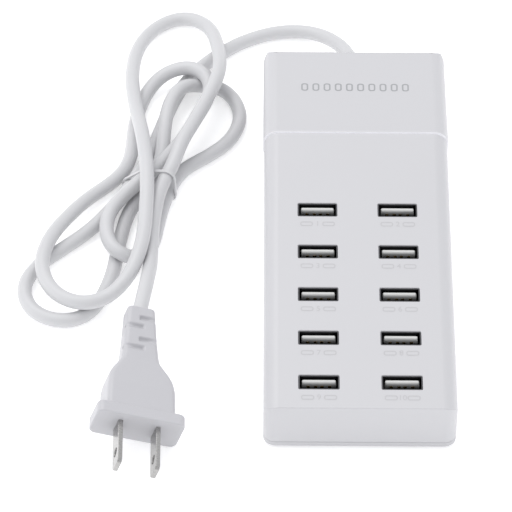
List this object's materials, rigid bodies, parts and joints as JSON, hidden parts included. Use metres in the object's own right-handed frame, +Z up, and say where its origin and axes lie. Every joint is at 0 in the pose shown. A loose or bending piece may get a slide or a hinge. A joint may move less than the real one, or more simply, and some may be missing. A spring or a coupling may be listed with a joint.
{
  "type": "multi port usb desktop charger",
  "caption": "Low white desktop charger with a sloped panel of USB charging ports, a raised rear head, and a fixed mains cord tied in a loose bundle with a flat blade plug.",
  "frame": {"origin": "on the table under the middle of the housing", "axes": "+X across the housing to its right, +Y along the housing to its cord end, +Z up"},
  "size_m": [0.1473, 0.2265, 0.0298],
  "materials": {
    "housing_plastic": "fine satin, moulded",
    "foot_rubber": "matte",
    "screw_steel": "zinc plated",
    "board_laminate": "solder mask",
    "black_epoxy": "matte",
    "lead_insulation": "smooth",
    "fuse_glass": "clear tube with plated ends",
    "capacitor_case": "smooth",
    "capacitor_sleeve": "shrink sleeve",
    "copper_wire": "enamelled winding",
    "ferrite": "sintered",
    "coil_tape": "wrapped tape",
    "heat_sink": "sheet",
    "coupler_white": "matte",
    "sleeve_plastic": "soft moulded",
    "cord_plastic": "smooth and soft",
    "tie_plastic": "thin strip",
    "plug_plastic": "fine satin, overmoulded",
    "blade_plate": "nickel plated",
    "port_steel": "tinned",
    "tongue_plastic": "matte",
    "contact_gold": "gold plated"
  },
  "bodies": {
    "root": {"top_shell": "housing_plastic", "base_plate": "housing_plastic", "rubber_feet": "foot_rubber", "case_screws": "screw_steel", "port_board": "board_laminate", "power_board": "board_laminate", "charge_controllers": "black_epoxy", "mains_leads": "lead_insulation", "output_leads": "lead_insulation", "fuse": "fuse_glass", "bridge_rectifier": "black_epoxy", "safety_capacitors": "capacitor_case", "input_choke": "copper_wire", "input_capacitors": "capacitor_sleeve", "transformer_core": "ferrite", "transformer_coil": "coil_tape", "switch_transistor": "black_epoxy", "switch_heat_sink": "heat_sink", "output_diode": "black_epoxy", "output_heat_sink": "heat_sink", "output_capacitors": "capacitor_sleeve", "optocoupler": "coupler_white", "cord_sleeve": "sleeve_plastic", "cord": "cord_plastic", "cord_tie": "tie_plastic", "plug_body": "plug_plastic", "plug_blade_left": "blade_plate", "plug_blade_right": "blade_plate", "usb_shell_1": "port_steel", "usb_tongue_1": "tongue_plastic", "usb_contacts_1": "contact_gold", "usb_shell_2": "port_steel", "usb_tongue_2": "tongue_plastic", "usb_contacts_2": "contact_gold", "usb_shell_3": "port_steel", "usb_tongue_3": "tongue_plastic", "usb_contacts_3": "contact_gold", "usb_shell_4": "port_steel", "usb_tongue_4": "tongue_plastic", "usb_contacts_4": "contact_gold", "usb_shell_5": "port_steel", "usb_tongue_5": "tongue_plastic", "usb_contacts_5": "contact_gold", "usb_shell_6": "port_steel", "usb_tongue_6": "tongue_plastic", "usb_contacts_6": "contact_gold", "usb_shell_7": "port_steel", "usb_tongue_7": "tongue_plastic", "usb_contacts_7": "contact_gold", "usb_shell_8": "port_steel", "usb_tongue_8": "tongue_plastic", "usb_contacts_8": "contact_gold", "usb_shell_9": "port_steel", "usb_tongue_9": "tongue_plastic", "usb_contacts_9": "contact_gold", "usb_shell_10": "port_steel", "usb_tongue_10": "tongue_plastic", "usb_contacts_10": "contact_gold"}
  },
  "joints": []
}
